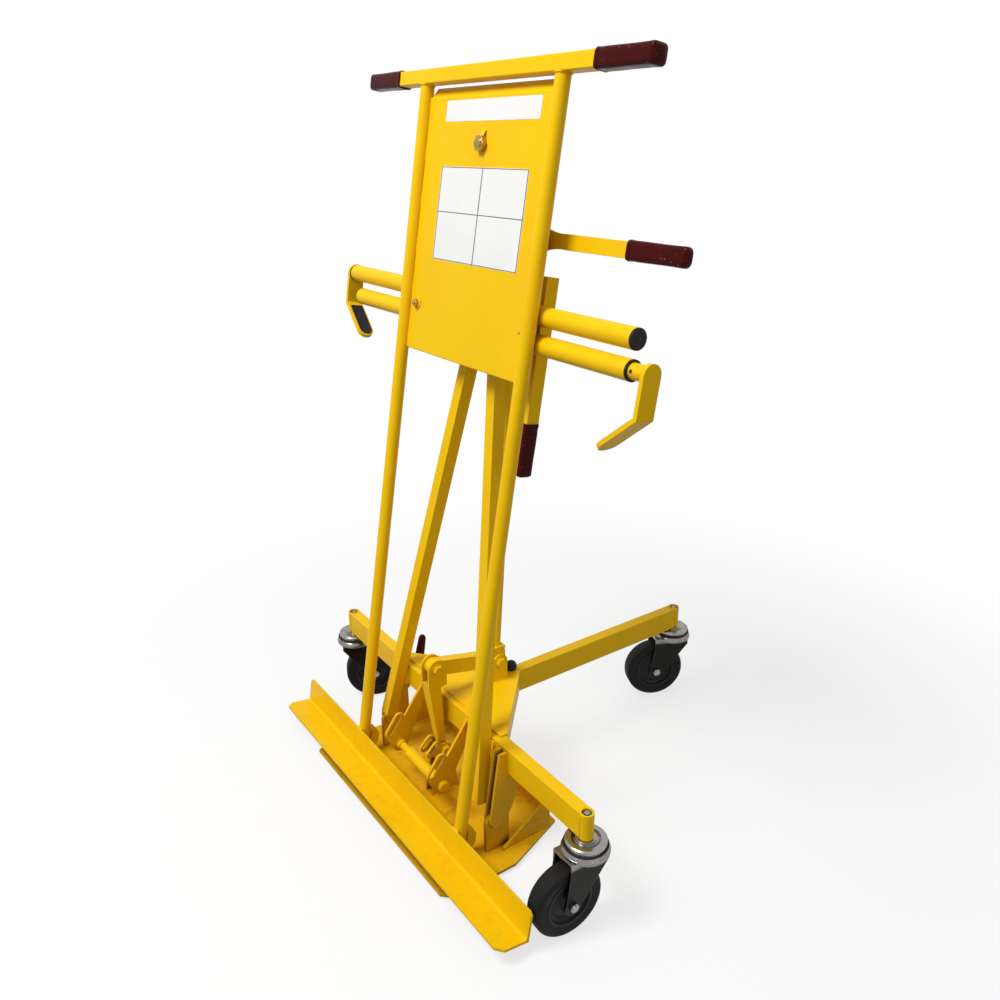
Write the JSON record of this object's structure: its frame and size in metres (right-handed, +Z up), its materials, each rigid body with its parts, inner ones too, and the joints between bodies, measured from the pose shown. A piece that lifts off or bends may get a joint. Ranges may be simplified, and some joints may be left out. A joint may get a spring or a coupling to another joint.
{
  "type": "door dolly",
  "caption": "Yellow steel door dolly: T-shaped caster frame, tripod, leaning mast with door shelf, sliding hook arms, tilt lever and pedal-worked floor plate.",
  "frame": {"origin": "on the floor, in the middle of the object's outer box in plan, under the T-frame", "axes": "+Z up, X along the shelf and the crossbar (positive to the right for a person looking at the panel from the front), +Y from the shelf to the rear caster"},
  "size_m": [0.962, 0.8868, 1.4258],
  "materials": {
    "yellow_paint": "semi-gloss sprayed enamel",
    "grip_vinyl": "dipped vinyl, slightly glossy",
    "black_rubber": "matte black rubber",
    "glide_nylon": "turned nylon",
    "zinc_plate": "bright zinc plating",
    "fork_zinc": "bright zinc plated pressing",
    "wheel_core": "moulded dark grey plastic",
    "wheel_tyre": "moulded black rubber"
  },
  "bodies": {
    "chassis": {"crossbar": "yellow_paint", "rear_leg": "yellow_paint", "top_gusset": "yellow_paint", "caster_sockets": "yellow_paint", "caster_stems": "zinc_plate", "braces": "yellow_paint", "brace_clips": "yellow_paint", "apex_plates": "yellow_paint", "strut": "yellow_paint", "rear_lug": "yellow_paint", "frame_bolts": "zinc_plate", "rubber_bumper": "black_rubber", "rod_brackets": "yellow_paint", "cross_rod": "yellow_paint", "guide_plates": "yellow_paint"},
    "fork_left": {"caster_left_fork": "fork_zinc", "caster_left_axle": "zinc_plate"},
    "wheel_left": {"caster_left_core": "wheel_core", "caster_left_tyre": "wheel_tyre"},
    "fork_right": {"caster_right_fork": "fork_zinc", "caster_right_axle": "zinc_plate"},
    "wheel_right": {"caster_right_core": "wheel_core", "caster_right_tyre": "wheel_tyre"},
    "fork_rear": {"caster_rear_fork": "fork_zinc", "caster_rear_axle": "zinc_plate"},
    "wheel_rear": {"caster_rear_core": "wheel_core", "caster_rear_tyre": "wheel_tyre"},
    "mast": {"door_shelf": "yellow_paint", "mast_tubes": "yellow_paint", "mast_ears": "yellow_paint", "back_panel": "yellow_paint", "handlebar": "yellow_paint", "handle_grips": "grip_vinyl", "arm_tube_upper": "yellow_paint", "arm_tube_lower": "yellow_paint", "arm_brackets": "yellow_paint", "arm_collars": "yellow_paint", "arm_plugs": "black_rubber", "mast_pivots": "zinc_plate"},
    "tilt_lever": {"tilt_lever": "yellow_paint", "tilt_grip": "grip_vinyl"},
    "left_glide": {"left_glide": "glide_nylon"},
    "right_glide": {"right_glide": "glide_nylon"},
    "left_hook": {"left_hook": "yellow_paint", "left_pad": "black_rubber"},
    "right_hook": {"right_hook": "yellow_paint", "right_pad": "black_rubber"},
    "clamp_lever": {"clamp_lever": "yellow_paint", "clamp_grip": "grip_vinyl"},
    "floor_plate": {"floor_plate": "yellow_paint", "floor_uprights": "yellow_paint", "floor_lugs": "yellow_paint", "floor_pivot_bolt": "zinc_plate"},
    "pedal": {"pedal": "yellow_paint", "pedal_grip": "grip_vinyl"},
    "link_bar": {"link_bar": "yellow_paint"},
    "pull_arm": {"pull_arm": "yellow_paint", "clevis_bolt": "zinc_plate"}
  },
  "joints": [
    {"name": "swivel_left", "type": "hinge", "parent": "chassis", "child": "fork_left", "pos_m": [-0.437, -0.25263, 0.165], "axis": [0, 0, 1], "continuous": true},
    {"name": "roll_left", "type": "hinge", "parent": "fork_left", "child": "wheel_left", "pos_m": [-0.41951, -0.21335, 0.0705], "axis": [-0.9135, 0.4067, 0], "continuous": true},
    {"name": "swivel_right", "type": "hinge", "parent": "chassis", "child": "fork_right", "pos_m": [0.437, -0.25263, 0.165], "axis": [0, 0, 1], "continuous": true},
    {"name": "roll_right", "type": "hinge", "parent": "fork_right", "child": "wheel_right", "pos_m": [0.43475, -0.29557, 0.0705], "axis": [0.9986, -0.0523, 0], "continuous": true},
    {"name": "swivel_rear", "type": "hinge", "parent": "chassis", "child": "fork_rear", "pos_m": [0, 0.39937, 0.165], "axis": [0, 0, 1], "continuous": true},
    {"name": "roll_rear", "type": "hinge", "parent": "fork_rear", "child": "wheel_rear", "pos_m": [-0.01817, 0.3604, 0.0705], "axis": [0.9063, -0.4226, 0], "continuous": true},
    {"name": "mast_roll", "type": "hinge", "parent": "chassis", "child": "mast", "pos_m": [0, -0.13913, 1.29447], "axis": [0, 0.9872, -0.1592], "range_deg": [-1, 1]},
    {"name": "tilt_lever_turn", "type": "hinge", "parent": "mast", "child": "tilt_lever", "pos_m": [0.112, -0.13689, 1.15129], "axis": [0, 0.9872, -0.1592], "range_deg": [-14, 14]},
    {"name": "left_arm_slide", "type": "slide", "parent": "mast", "child": "left_glide", "axis": [-1, 0, 0], "range_m": [0, 0.25]},
    {"name": "left_hook_turn", "type": "hinge", "parent": "left_glide", "child": "left_hook", "pos_m": [-0.4, -0.17323, 1.03458], "axis": [-1, 0, 0], "range_deg": [0, 95]},
    {"name": "right_arm_slide", "type": "slide", "parent": "mast", "child": "right_glide", "axis": [1, 0, 0], "range_m": [-0.02, 0.22]},
    {"name": "right_hook_turn", "type": "hinge", "parent": "right_glide", "child": "right_hook", "pos_m": [0.4, -0.18056, 0.98917], "axis": [-1, 0, 0], "range_deg": [0, 95]},
    {"name": "clamp_lever_turn", "type": "hinge", "parent": "mast", "child": "clamp_lever", "pos_m": [0.15, -0.13253, 1.07158], "axis": [1, 0, 0], "range_deg": [0, 60]},
    {"name": "floor_plate_lift", "type": "slide", "parent": "chassis", "child": "floor_plate", "axis": [0, 0, -1], "range_m": [0, 0.006]},
    {"name": "pedal_turn", "type": "hinge", "parent": "chassis", "child": "pedal", "pos_m": [-0.232, -0.24863, 0.12], "axis": [-1, 0, 0], "range_deg": [0, 24]},
    {"name": "link_bar_turn", "type": "hinge", "parent": "chassis", "child": "link_bar", "pos_m": [0, -0.13863, 0.281], "axis": [1, 0, 0], "range_deg": [0, 2.4]},
    {"name": "pull_arm_turn", "type": "hinge", "parent": "link_bar", "child": "pull_arm", "pos_m": [0, -0.28963, 0.315], "axis": [1, 0, 0], "range_deg": [-2.1, 0]}
  ],
  "couplings": [
    {"joint": "tilt_lever_turn", "follows": "mast_roll", "ratio": -13.862},
    {"joint": "pedal_turn", "follows": "floor_plate_lift", "rad_per_m": 69.813},
    {"joint": "link_bar_turn", "follows": "floor_plate_lift", "rad_per_m": 6.7214},
    {"joint": "pull_arm_turn", "follows": "floor_plate_lift", "rad_per_m": -5.674}
  ]
}
